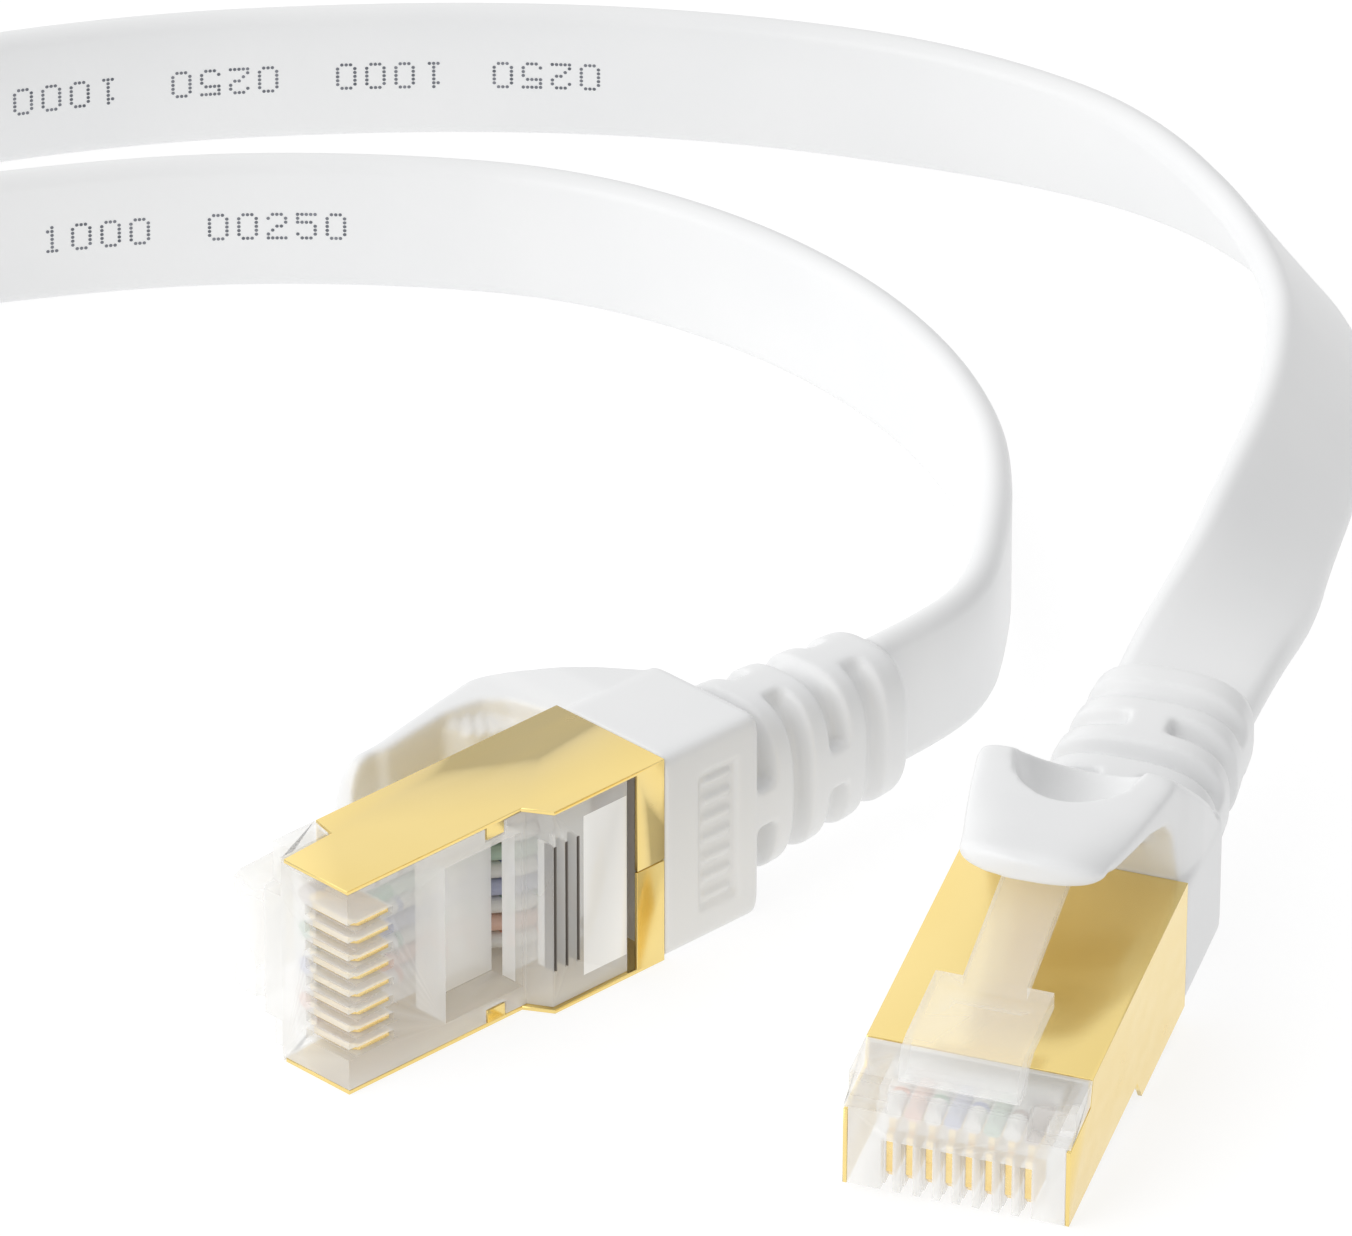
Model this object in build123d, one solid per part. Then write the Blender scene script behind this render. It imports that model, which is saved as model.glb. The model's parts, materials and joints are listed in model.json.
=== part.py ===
"""Flat shielded network patch cable: two identical 8-way plugs on one flat cord.

Each plug is modelled once in its own frame and placed twice.  Plug frame, in millimetres:
+X out of the nose, +Y across the width towards contact 8, +Z from the contact face to the
latch, origin at the middle of the nose where the contact face meets it.  Lengths along the
plug are written as distances back from the nose.
"""
from build123d import *
from math import cos, pi, radians, sin, tan
import os

# ---- plug envelope ----
PLUG_WIDTH = 11.68
PLUG_HEIGHT = 6.33          # contact face to latch face, over the metal shell
SHELL_WALL = 0.22
SHELL_CLEARANCE = 0.02      # between the shell and the housing inside it
SHELL_FRONT = 3.84          # where the shell's top plate starts
SHELL_END = 20.6            # shell ends and boot begins
REAR_STEP_START = 12.0      # the contact face steps out over the cable clamp
REAR_STEP_END = 12.9
REAR_STEP = 1.45            # how far the rear of the contact face stands out
STRAP_LENGTH = 1.9          # folded gold flaps that close the shell at the rear
SEAM_HALF = 0.04            # half the gap between the two rear flaps
HOOK_START, HOOK_END = 9.6, 10.8
HOOK_REACH = 0.9            # bent tabs that hold the shell to the housing
HOUSING_END = 18.2
SHELF_DEPTH = 0.9           # step either side of the latch root
SHELF_HEIGHT = 4.85
ROOT_HALF_WIDTH = 3.6

# ---- contacts and conductors ----
CONTACT_COUNT = 8
CONTACT_PITCH = 1.02
CONTACT_THICKNESS = 0.35
CONTACT_SLOT = 0.45
CONTACT_FRONT = 0.55
CONTACT_REAR = 3.0
CONTACT_RECESS = 0.25       # top edge of a blade below the contact face
CONTACT_TIP = 4.35          # depth that the piercing points reach
NOSE_SLOT_WIDTH = 0.6
NOSE_SLOT_HEIGHT = 3.1
WIRE_DIAMETER = 0.9
WIRE_HEIGHT = 4.2           # row of conductors above the contact face
WIRE_START = 1.0
WIRE_BEND_START = 11.9
WIRE_BEND_END = 14.4
WIRE_BEND_RADIUS = 1.5
CHANNEL_START = 0.85
CHANNEL_STEP = 1.3          # the channel is lower in front of this, under the shelves
CHANNEL_LOW = 3.2
CHANNEL_HIGH = 5.35
CHANNEL_SIDE_GAP = 0.3      # beside the outer conductors
BAR_START = 3.6
BAR_END = 6.6
WINDOW_END = 12.0
WINDOW_WIDTH = 8.9
WINDOW_DEPTH = 2.2
CLAMP_WIDTH = 7.2
CLAMP_GROOVE = 0.14
CLAMP_LINE_FIRST = 13.1     # three parting lines round the clamp bar
CLAMP_LINE_PITCH = 0.8
CLAMP_LINE_COUNT = 3

# ---- cord ----
CORD_WIDTH = 7.8
CORD_THICKNESS = 1.8
CORD_HEIGHT = 2.4           # cord axis above the contact face
JACKET_START = 15.2         # jacket is stripped in front of this
CORD_CLEARANCE = 0.05
BRAID_WALL = 0.2
BRAID_START = 18.35

# ---- latch ----
LATCH_WIDTH = 6.1
TAIL_WIDTH = 3.3
LATCH_PIVOT = (1.3, 0.42)   # distance back, height above the latch face
SHOULDER_END = 6.35
TAIL_END = 14.0
TAIL_SLOPE = 0.222
LATCH_THICKNESS = 0.95
LATCH_FOOT_GAP = 0.17       # room under the root for its turn

# ---- boot and guard ----
BOX_END = 27.3
BOX_STEP = 1.6              # contact side of the box below the front contact face
NECK_END = 39.0
NECK_START_WIDTH, NECK_START_HEIGHT = 9.9, 7.6
NECK_END_WIDTH, NECK_END_HEIGHT = 8.6, 6.4
NECK_CORE_WIDTH, NECK_CORE_HEIGHT = 8.3, 4.8
GROOVE_FIRST = 28.1
GROOVE_PITCH = 2.75
GROOVE_LENGTH = 1.2
GROOVE_COUNT = 4
BRIDGE_WIDTH = 2.0
BADGE_START, BADGE_END = 22.9, 25.7
BADGE_WIDTH = 7.8
BADGE_DEPTH = 0.3
GRIP_BARS = 7
GUARD_GAP = 0.3             # between the guard and everything that stays still
GUARD_PIVOT = (21.85, 0.67) # distance back, height above the latch face
GUARD_REAR = 21.7
SHOULDER_TOP = 4.96         # above the latch face
GUARD_FRONT = 11.3
LIP_HALF_WIDTH = 3.85
WAIST_HALF_WIDTH = 4.3
GUARD_SIDE_INSET = 0.35
BOWL_CENTRE = (21.3, 7.27)  # distance back, height above the latch face
BOWL_RADII = (4.1, 3.9, 4.3)

# ---- where the two plugs lie; plug A lies on its side with its shell on the table ----
PLUG_A = Pos(12.0, CORD_HEIGHT, PLUG_WIDTH / 2) * Rot(90, 0, 0)
PLUG_B = Pos(-1.71, 31.35, 0.26) * Rot(0, 0, 27.85) * Rot(0, 7.1, 0) * Rot(-2.5, 0, 0)

# ---- route of the cord's centreline, between each boot and the coil ----
ON_EDGE = CORD_WIDTH / 2    # height of the centreline where the cord stands on edge
ROUTE_A = [
    (-36.4, -1.5, 5.5),
    (-41.4, -5.4, 4.9),
    (-46.4, -9.9, 4.2),
    (-51.3, -15.3, ON_EDGE),
    (-55.2, -22.5, ON_EDGE),
    (-57.6, -31.0, ON_EDGE),
    (-57.8, -40.8, ON_EDGE),
    (-55.2, -50.7, ON_EDGE),
    (-49.4, -58.8, ON_EDGE),
    (-42.0, -66.2, ON_EDGE),
    (-33.4, -71.9, ON_EDGE),
    (-24.2, -76.8, ON_EDGE),
    (-14.6, -83.6, ON_EDGE),
    (-4.8, -91.0, ON_EDGE),
]
ROUTE_B = [
    (-49.0, 5.8, 6.5),
    (-56.4, 0.6, 5.6),
    (-63.2, -4.0, 4.7),
    (-69.9, -9.0, 4.1),
    (-76.4, -15.2, ON_EDGE),
    (-81.2, -24.0, ON_EDGE),
    (-83.6, -34.4, ON_EDGE),
    (-81.4, -44.4, ON_EDGE),
    (-76.7, -54.1, ON_EDGE),
    (-69.9, -63.7, ON_EDGE),
    (-61.2, -72.5, ON_EDGE),
    (-50.6, -80.9, ON_EDGE),
    (-37.9, -87.4, ON_EDGE),
    (-24.5, -92.0, ON_EDGE),
    (-10.6, -96.2, ON_EDGE),
]
TWIST_END = 9               # run of route B in which the cord comes to stand on edge
TWIST_TILTS = [90, 73, 52, 44, 42, 40, 30, 13, 0]
TWIST_SECTIONS = 32
RUN_SHARE = 0.45            # part of the shorter run that an arc may take
EXIT_RUN_A, EXIT_RUN_B = 4.6, 5.0   # straight stretch out of each boot
COIL_RUN = 10.0             # straight stretch along the coil's tangent, before the entry

# ---- coil: the cord folded in half and wound from its middle ----
COIL_CENTRE = (36.6, -72.0)
COIL_ENTRY = 236.0          # degrees, where both strands join the coil
COIL_OUTER = 44.46          # centreline radius of the outer strand at the entry
COIL_INNER = 36.0
STRAND_PITCH = 3.2
TIE_ANGLE = 318.0
TIE_WIDTH = 8.0
TIE_WALL = 0.6
TIE_GAP = 0.15


def block(back_0, back_1, width_0, width_1, low, high):
    """Box between two distances back from the nose."""
    size = (back_1 - back_0, width_1 - width_0, high - low)
    middle = (-(back_0 + back_1) / 2, (width_0 + width_1) / 2, (low + high) / 2)
    return Pos(*middle) * Box(*size)


def side_solid(outline, half_width, width_low=None):
    """Outline of (distance back, height) points, carried across the width."""
    low = -half_width if width_low is None else width_low
    face = make_face(Polyline(*[(-back, height) for back, height in outline], close=True))
    return Pos(0, low, 0) * Rot(90, 0, 0) * extrude(face, amount=-(half_width - low))


def flat_tube(back_0, back_1, width, thickness):
    """Stadium bar along the cord axis inside the plug."""
    plane = Plane((-back_0, 0, CORD_HEIGHT), x_dir=(0, 1, 0), z_dir=(-1, 0, 0))
    return extrude(plane * SlotOverall(width, thickness), amount=back_1 - back_0)


def contact_places():
    middle = (CONTACT_COUNT - 1) / 2
    return [(number - middle) * CONTACT_PITCH for number in range(CONTACT_COUNT)]


def make_shell():
    """Gold-plated sheet folded round the housing: top plate, two walls, two rear flaps."""
    half = PLUG_WIDTH / 2
    wall_outline = [
        (0, 0), (0, 4.59), (3.52, 4.81), (SHELL_FRONT, PLUG_HEIGHT), (SHELL_END, PLUG_HEIGHT),
        (SHELL_END, -REAR_STEP), (REAR_STEP_END, -REAR_STEP), (REAR_STEP_START, 0),
    ]
    shell = block(SHELL_FRONT, SHELL_END, -half, half, PLUG_HEIGHT - SHELL_WALL, PLUG_HEIGHT)
    shell += side_solid(wall_outline, half, half - SHELL_WALL)
    shell += side_solid(wall_outline, -half + SHELL_WALL, -half)
    for side in (-1, 1):
        edges = sorted((side * half, side * SEAM_HALF))
        shell += block(SHELL_END - STRAP_LENGTH, SHELL_END, *edges, -REAR_STEP, SHELL_WALL - REAR_STEP)
        hook = sorted((side * half, side * (half - HOOK_REACH)))
        shell += block(HOOK_START, HOOK_END, *hook, 0, SHELL_WALL)
    return shell


def make_housing():
    """Clear moulding: comb nose, conductor channel, window, cable clamp and rear mouth."""
    half = PLUG_WIDTH / 2
    inner = half - SHELL_WALL - SHELL_CLEARANCE
    roof = PLUG_HEIGHT - SHELL_WALL - SHELL_CLEARANCE
    housing = block(0, HOUSING_END, -inner, inner, 0, roof)
    crown = [
        (0, SHELF_HEIGHT - 0.1), (0, PLUG_HEIGHT - 0.43), (0.4, PLUG_HEIGHT), (3.75, PLUG_HEIGHT), (3.4, 4.95),
    ]
    housing += side_solid(crown, half)
    for side in (-1, 1):
        shelf = sorted((side * (half + 0.1), side * ROOT_HALF_WIDTH))
        housing -= block(-0.1, SHELF_DEPTH, *shelf, SHELF_HEIGHT, PLUG_HEIGHT + 0.1)
    rear_skin = -REAR_STEP + SHELL_WALL + SHELL_CLEARANCE
    step = [
        (REAR_STEP_START + 0.3, 0.01), (REAR_STEP_END + 0.1, rear_skin),
        (HOUSING_END, rear_skin), (HOUSING_END, 0.01),
    ]
    housing += side_solid(step, inner)
    channel_half = (CONTACT_COUNT * CONTACT_PITCH) / 2 + CHANNEL_SIDE_GAP
    housing -= block(CHANNEL_START, WINDOW_END, -channel_half, channel_half, CHANNEL_LOW, WIRE_HEIGHT + 0.48)
    housing -= block(CHANNEL_STEP, WINDOW_END, -channel_half, channel_half, WIRE_HEIGHT, CHANNEL_HIGH)
    mouth_half = CORD_WIDTH / 2 + 0.6
    clamp_floor = CORD_HEIGHT - CORD_THICKNESS / 2 - CORD_CLEARANCE
    housing -= block(WINDOW_END, HOUSING_END, -mouth_half, mouth_half, clamp_floor, CHANNEL_HIGH)
    window = WINDOW_WIDTH / 2
    housing -= block(BAR_END + 0.1, WINDOW_END, -window, window, 0, WINDOW_DEPTH)
    for place in contact_places():
        nose = NOSE_SLOT_WIDTH / 2
        blade = CONTACT_SLOT / 2
        housing -= block(0, CONTACT_FRONT, place - nose, place + nose, 0, NOSE_SLOT_HEIGHT)
        housing -= block(CONTACT_FRONT - 0.1, CONTACT_REAR + 0.1, place - blade, place + blade, 0, CHANNEL_LOW)
    for side in (-1, 1):
        hook = sorted((side * half, side * (half - HOOK_REACH - 0.1)))
        housing -= block(HOOK_START - 0.1, HOOK_END + 0.1, *hook, 0, SHELL_WALL + 0.05)
    clamp = CLAMP_WIDTH / 2
    for number in range(CLAMP_LINE_COUNT):
        line = CLAMP_LINE_FIRST + number * CLAMP_LINE_PITCH
        housing -= block(line, line + CLAMP_GROOVE, -clamp, clamp, rear_skin, rear_skin + 1.2)
    return housing


def make_load_bar():
    """White tray that holds the conductors in line behind the contacts."""
    half = (CONTACT_COUNT * CONTACT_PITCH) / 2 + CHANNEL_SIDE_GAP - 0.03
    bar = block(BAR_START, BAR_END, -half, half, WIRE_HEIGHT, CHANNEL_HIGH - 0.03)
    for place in contact_places():
        groove = Cylinder(WIRE_DIAMETER / 2 + 0.01, BAR_END - BAR_START + 0.2)
        bar -= Pos(-(BAR_START + BAR_END) / 2, place, WIRE_HEIGHT) * Rot(0, 90, 0) * groove
    return bar


def make_contact(place):
    """Blade with a rounded front corner and two points that pierce the conductor."""
    tooth = (CONTACT_REAR - CONTACT_FRONT) / 4
    body_top = CHANNEL_LOW + 0.3
    outline = [
        (CONTACT_FRONT, 0.8), (CONTACT_FRONT + 0.45, CONTACT_RECESS), (CONTACT_REAR, CONTACT_RECESS),
        (CONTACT_REAR, body_top), (CONTACT_REAR - tooth, CONTACT_TIP), (CONTACT_REAR - 2 * tooth, body_top),
        (CONTACT_REAR - 3 * tooth, CONTACT_TIP), (CHANNEL_START + 0.05, body_top),
        (CHANNEL_START + 0.05, CHANNEL_LOW), (CONTACT_FRONT, CHANNEL_LOW - 0.1),
    ]
    return Pos(0, place, 0) * side_solid(outline, CONTACT_THICKNESS / 2)


def make_wire(place):
    """One insulated conductor, from the contacts back into the jacket."""
    path = FilletPolyline(
        (-WIRE_START, place, WIRE_HEIGHT), (-WIRE_BEND_START, place, WIRE_HEIGHT),
        (-WIRE_BEND_END, place, CORD_HEIGHT), (-(JACKET_START - 0.02), place, CORD_HEIGHT), radius=WIRE_BEND_RADIUS,
    )
    return sweep(Plane(path @ 0, z_dir=path % 0) * Circle(WIRE_DIAMETER / 2), path=path)


def latch_top(back):
    """Height of the latch's upper face at a distance back from the nose."""
    return PLUG_HEIGHT + 2.97 + TAIL_SLOPE * (back - 6.7)


def make_latch():
    """Clear tab: curved root at the nose, two catch shoulders and a narrow tail."""
    face = PLUG_HEIGHT
    root_top = face + 2.67
    foot = face + LATCH_FOOT_GAP
    wide = [
        (0.5, foot), (0.1, face + 0.57), (0.1, face + 1.67), (0.45, face + 2.42), (1.2, root_top),
        (SHOULDER_END, latch_top(SHOULDER_END)), (SHOULDER_END, latch_top(SHOULDER_END) - LATCH_THICKNESS),
        (3.0, root_top - 0.95), (2.2, face + 1.27), (1.85, face + 0.57), (1.8, foot),
    ]
    tail = [
        (SHOULDER_END - 1.0, latch_top(SHOULDER_END - 1.0) - LATCH_THICKNESS + 0.15),
        (SHOULDER_END - 1.0, latch_top(SHOULDER_END - 1.0)),
        (TAIL_END, latch_top(TAIL_END)), (TAIL_END, latch_top(TAIL_END) - LATCH_THICKNESS + 0.15),
    ]
    return side_solid(wide, LATCH_WIDTH / 2) + side_solid(tail, TAIL_WIDTH / 2)


def neck_section(back, width, height):
    plane = Plane((-back, 0, CORD_HEIGHT), x_dir=(0, 1, 0), z_dir=(-1, 0, 0))
    return plane * RectangleRounded(width, height, min(width, height) * 0.38)


def thumb_bowl():
    """Ellipsoid that hollows the thumb recess out of the guard and its shoulders."""
    return Pos(-BOWL_CENTRE[0], 0, PLUG_HEIGHT + BOWL_CENTRE[1]) * scale(Sphere(1), by=BOWL_RADII)


def make_boot():
    """Moulded boot: box behind the shell, ribbed strain relief and the guard's shoulders."""
    half = PLUG_WIDTH / 2
    boot = block(SHELL_END, BOX_END, -half, half, -BOX_STEP, PLUG_HEIGHT)
    shoulders = [
        (GUARD_REAR + GUARD_GAP, PLUG_HEIGHT - 0.01), (GUARD_REAR + GUARD_GAP, PLUG_HEIGHT + SHOULDER_TOP),
        (24.9, PLUG_HEIGHT + 2.03), (26.7, PLUG_HEIGHT - 0.01),
    ]
    boot += side_solid(shoulders, half - GUARD_SIDE_INSET) - thumb_bowl()
    neck = loft([
        neck_section(BOX_END, NECK_START_WIDTH, NECK_START_HEIGHT),
        neck_section(NECK_END, NECK_END_WIDTH, NECK_END_HEIGHT),
    ])
    for number in range(GROOVE_COUNT):
        neck -= make_groove(number)
    boot += neck
    badge = BADGE_WIDTH / 2
    boot -= block(BADGE_START, BADGE_END, -badge, badge, -BOX_STEP, BADGE_DEPTH - BOX_STEP)
    spacing = BADGE_WIDTH / GRIP_BARS
    for number in range(GRIP_BARS):
        place = (number - (GRIP_BARS - 1) / 2) * spacing
        boot += block(
            BADGE_START + 0.5, BADGE_END - 0.5, place - 0.2, place + 0.2,
            0.05 - BOX_STEP, BADGE_DEPTH - BOX_STEP + 0.01,
        )
    sleeve = CORD_CLEARANCE * 2
    boot -= flat_tube(SHELL_END - 1, NECK_END + 1, CORD_WIDTH + sleeve, CORD_THICKNESS + sleeve)
    return boot


def make_groove(number):
    """Ring groove round the neck, with two bridges that alternate between faces and sides."""
    start = GROOVE_FIRST + number * GROOVE_PITCH - GROOVE_LENGTH / 2
    end = start + GROOVE_LENGTH
    reach = NECK_START_WIDTH
    ring = block(start, end, -reach, reach, CORD_HEIGHT - reach, CORD_HEIGHT + reach)
    ring -= extrude(neck_section(start, NECK_CORE_WIDTH, NECK_CORE_HEIGHT), amount=GROOVE_LENGTH)
    bridge = BRIDGE_WIDTH / 2
    if number % 2 == 0:
        ring -= block(start, end, -bridge, bridge, CORD_HEIGHT - reach, CORD_HEIGHT + reach)
    else:
        ring -= block(start, end, -reach, reach, CORD_HEIGHT - bridge, CORD_HEIGHT + bridge)
    return ring


def make_guard():
    """Hooded thumb guard over the latch tail, with side arches and a thumb recess."""
    face = PLUG_HEIGHT
    outline = [
        (GUARD_REAR, face + 0.62), (GUARD_REAR, face + 5.27), (20.95, face + 6.02), (17.0, face + 6.17),
        (14.0, face + 6.47), (12.0, face + 6.82), (11.5, face + 6.67), (GUARD_FRONT, face + 5.42),
        (13.2, face + 5.37), (13.4, face + 4.72), (14.0, face + 4.72), (14.2, face + 5.07),
        (17.5, face + 4.77), (19.4, face + 4.17),
        (20.3, face + 3.07), (20.5, face + 1.97), (20.5, face + 0.62),
    ]
    hood = side_solid(outline, PLUG_WIDTH / 2)
    web = [
        (18.0, face + 4.67), (18.0, face + 3.67), (20.3, face + 2.27), (GUARD_REAR - 0.1, face + 2.27),
        (GUARD_REAR - 0.1, face + 5.07), (20.9, face + 5.87),
    ]
    hood += side_solid(web, 3.9)
    half = PLUG_WIDTH / 2 - GUARD_SIDE_INSET
    plan_half = [
        (GUARD_REAR, half), (20.9, 5.25), (18.0, 4.8), (15.3, WAIST_HALF_WIDTH), (13.2, LIP_HALF_WIDTH),
        (12.3, LIP_HALF_WIDTH - 0.2), (11.7, 2.9), (GUARD_FRONT, 0),
    ]
    mirrored = [(back, -width) for back, width in reversed(plan_half[:-1])]
    corners = [(-back, width) for back, width in plan_half + mirrored]
    plan = extrude(make_face(Polyline(*corners, close=True)), amount=20)
    return (hood & plan) - thumb_bowl()


# ---- cord solids ----
def arc_radii(points):
    """Largest tangent arc at each corner of the route."""
    radii = []
    for before, corner, after in zip(points, points[1:], points[2:]):
        first = Vector(*corner) - Vector(*before)
        second = Vector(*after) - Vector(*corner)
        turn = radians(first.get_angle(second))
        radii.append(RUN_SHARE * min(first.length, second.length) / tan(turn / 2))
    return radii


def edge_section(path, at, tilt=0.0):
    """Cord section across the path: on edge, or tipped over to its left by tilt degrees."""
    along = path % at
    left = Vector(-along.Y, along.X, 0).normalized()
    up = along.cross(left)
    across = up * cos(radians(tilt)) + left * sin(radians(tilt))
    return Plane(path @ at, x_dir=across, z_dir=along) * SlotOverall(CORD_WIDTH, CORD_THICKNESS)


def edge_tube(path):
    """Cord standing on edge all along a path."""
    return sweep(edge_section(path, 0), path=path)


def tilt_at(share):
    """Tilt at a share of the twist, straight between the listed ones."""
    place = share * (len(TWIST_TILTS) - 1)
    number = min(int(place), len(TWIST_TILTS) - 2)
    return TWIST_TILTS[number] + (TWIST_TILTS[number + 1] - TWIST_TILTS[number]) * (place - number)


def twist_tube(path):
    """Cord that turns from lying flat to standing on edge along a path."""
    shares = [number / TWIST_SECTIONS for number in range(TWIST_SECTIONS + 1)]
    return loft([edge_section(path, share, tilt_at(share)) for share in shares], ruled=True)


def coil_point(radius, angle):
    return (COIL_CENTRE[0] + radius * cos(radians(angle)), COIL_CENTRE[1] + radius * sin(radians(angle)))


def coil_entry(strand, before=0.0):
    """Point where a strand joins the coil, or before it on the tangent: strand 0 is the outer one."""
    x, y = coil_point(COIL_OUTER - strand * STRAND_PITCH, COIL_ENTRY)
    return (x + before * sin(radians(COIL_ENTRY)), y - before * cos(radians(COIL_ENTRY)), ON_EDGE)


def coil_rim(angle_past_entry):
    """Outer face of the coil, which steps in by two strands every turn."""
    return COIL_OUTER + CORD_THICKNESS / 2 - 2 * STRAND_PITCH * angle_past_entry / 360


def make_coil():
    """Outer shape of the wound cord: a spiral ring with the S-shaped middle of the fold."""
    rim = Spline(*[coil_point(coil_rim(step * 20), COIL_ENTRY + step * 20) for step in range(19)])
    bore = COIL_INNER - CORD_THICKNESS / 2 - 0.1
    turns = make_face([rim, Line(rim @ 1, rim @ 0)]) - Pos(*COIL_CENTRE) * Circle(bore)
    end_angle = COIL_ENTRY + (COIL_OUTER - STRAND_PITCH - COIL_INNER) / (2 * STRAND_PITCH) * 360
    middle_bar = Circle(COIL_INNER / 2 + CORD_THICKNESS / 2) - Circle(COIL_INNER / 2 - CORD_THICKNESS / 2)
    half_plane = Rectangle(COIL_INNER * 2, COIL_INNER, align=(Align.CENTER, Align.MIN))
    bars = Pos(COIL_INNER / 2, 0) * (middle_bar & half_plane)
    bars += Pos(-COIL_INNER / 2, 0) * (middle_bar & (Rot(0, 0, 180) * half_plane))
    bars = Pos(*COIL_CENTRE) * Rot(0, 0, end_angle) * bars
    inside = Pos(*COIL_CENTRE) * Circle(bore + 0.05)
    plan = turns + (bars & inside)
    return extrude(plan, amount=CORD_WIDTH) - make_tie()


def make_tie():
    """Strap closed round all the strands at one place, with its foot on the table."""
    outer = coil_rim((TIE_ANGLE - COIL_ENTRY) % 360)
    bow = TIE_WIDTH ** 2 / (8 * COIL_INNER)
    inner = COIL_INNER - CORD_THICKNESS / 2 - bow
    inside = (outer - inner + 2 * TIE_GAP, TIE_WIDTH, CORD_WIDTH + TIE_GAP)
    outside = (inside[0] + 2 * TIE_WALL, TIE_WIDTH, inside[2] + 2 * TIE_WALL)
    strap = Pos(0, 0, outside[2] / 2) * (Box(*outside) - Box(*inside))
    x, y = coil_point((outer + inner) / 2, TIE_ANGLE)
    return Pos(x, y, 0) * Rot(0, 0, TIE_ANGLE) * strap


def make_braid():
    """Copper braid folded back over the jacket, under the shell's rear flaps."""
    slack = 2 * SHELL_CLEARANCE
    inner = (CORD_WIDTH + slack, CORD_THICKNESS + slack)
    outer = (inner[0] + 2 * BRAID_WALL, inner[1] + 2 * BRAID_WALL)
    braid_end = SHELL_END - 0.1
    return flat_tube(BRAID_START, braid_end, *outer) - flat_tube(BRAID_START - 1, braid_end + 1, *inner)


def make_plug():
    """Every piece of one plug, in the plug's frame, by name."""
    pieces = {
        "shield_shell": make_shell(),
        "housing": make_housing(),
        "load_bar": make_load_bar(),
        "latch": make_latch(),
        "boot": make_boot(),
        "latch_guard": make_guard(),
        "jacket_end": flat_tube(JACKET_START, NECK_END, CORD_WIDTH, CORD_THICKNESS),
        "braid_collar": make_braid(),
    }
    for number, place in enumerate(contact_places(), start=1):
        pieces[f"contact_{number}"] = make_contact(place)
        pieces[f"wire_{number}"] = make_wire(place) - pieces[f"contact_{number}"]
    return pieces


def boot_exit(plug, beyond=0.0):
    """Middle of the cord where it leaves a plug's boot, or straight on beyond it."""
    return tuple((plug * Pos(-NECK_END - beyond, 0, CORD_HEIGHT)).position)


def coil_length():
    """Both spiral arms and the two half circles at the middle of the fold."""
    length = pi * COIL_INNER
    for strand in (0, 1):
        start = COIL_OUTER - strand * STRAND_PITCH
        turns = (start - COIL_INNER) / (2 * STRAND_PITCH)
        length += pi * (start + COIL_INNER) * turns
    return length


def report_tube(name, shape, path, radii):
    """Print a lead's bend radii and its volume beside its section times its length."""
    section = (CORD_WIDTH - CORD_THICKNESS) * CORD_THICKNESS + pi * CORD_THICKNESS ** 2 / 4
    print(name, "radii", [round(radius, 1) for radius in radii])
    print(name, "volume", round(shape.volume), "section times length", round(section * path.length))


def make_cord():
    """The free cord: two leads, the twist behind plug B, the coil and its tie."""
    points_a = [boot_exit(PLUG_A), boot_exit(PLUG_A, EXIT_RUN_A)] + ROUTE_A
    points_a += [coil_entry(1, COIL_RUN), coil_entry(1)]
    points_b = [boot_exit(PLUG_B), boot_exit(PLUG_B, EXIT_RUN_B)] + ROUTE_B
    points_b += [coil_entry(0, COIL_RUN), coil_entry(0)]
    radii_a, radii_b = arc_radii(points_a), arc_radii(points_b)
    before, after = points_b[TWIST_END], points_b[TWIST_END + 1]
    split = tuple((low + high) / 2 for low, high in zip(before, after))
    path_a = FilletPolyline(*points_a, radius=radii_a)
    path_twist = FilletPolyline(*points_b[:TWIST_END + 1], split, radius=radii_b[:TWIST_END])
    path_b = FilletPolyline(split, *points_b[TWIST_END + 1:], radius=radii_b[TWIST_END:])
    cord = {
        "cable_lead_a": edge_tube(path_a),
        "cable_twist_b": twist_tube(path_twist),
        "cable_lead_b": edge_tube(path_b),
    }
    report_tube("cable_lead_a", cord["cable_lead_a"], path_a, radii_a)
    report_tube("cable_twist_b", cord["cable_twist_b"], path_twist, radii_b[:TWIST_END])
    report_tube("cable_lead_b", cord["cable_lead_b"], path_b, radii_b[TWIST_END:])
    free = path_a.length + path_twist.length + path_b.length
    print("cord length", round(free + coil_length(), 1), "of which in the coil", round(coil_length(), 1))
    return cord | {"cable_coil": make_coil(), "cable_tie": make_tie()}


def place_direction(place, direction):
    """A direction of the plug's frame in the shared frame."""
    return (place * Pos(*direction)).position - place.position


def save(name, shape):
    export_step(shape, f"parts/{name}.step")


os.makedirs("parts", exist_ok=True)
plug = make_plug()
for prefix, place in (("a", PLUG_A), ("b", PLUG_B)):
    for name, shape in plug.items():
        save(f"{prefix}_{name}", place * shape)
    for joint, (back, height) in (("guard", GUARD_PIVOT), ("latch", LATCH_PIVOT)):
        centre = (place * Pos(-back, 0, PLUG_HEIGHT + height)).position
        print(prefix, joint, "pivot", centre, "across the plug", place_direction(place, (0, 1, 0)))
    print(prefix, "nose", place.position, "out of the nose", place_direction(place, (1, 0, 0)))
for name, shape in make_cord().items():
    save(name, shape)
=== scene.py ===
# %% [markdown]
# # A flat network patch cable, with its finished surface
#
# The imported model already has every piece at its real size: two modular plugs, their boots and the
# flat cord between them.  This lesson keeps that frame still and gives it a finished surface:
# a soft moulded boot, a smooth cord at its full length, rounded clear plastic and folded gold sheet.

# %% Load the frame
import json
from math import cos, pi, radians, sin

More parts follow.
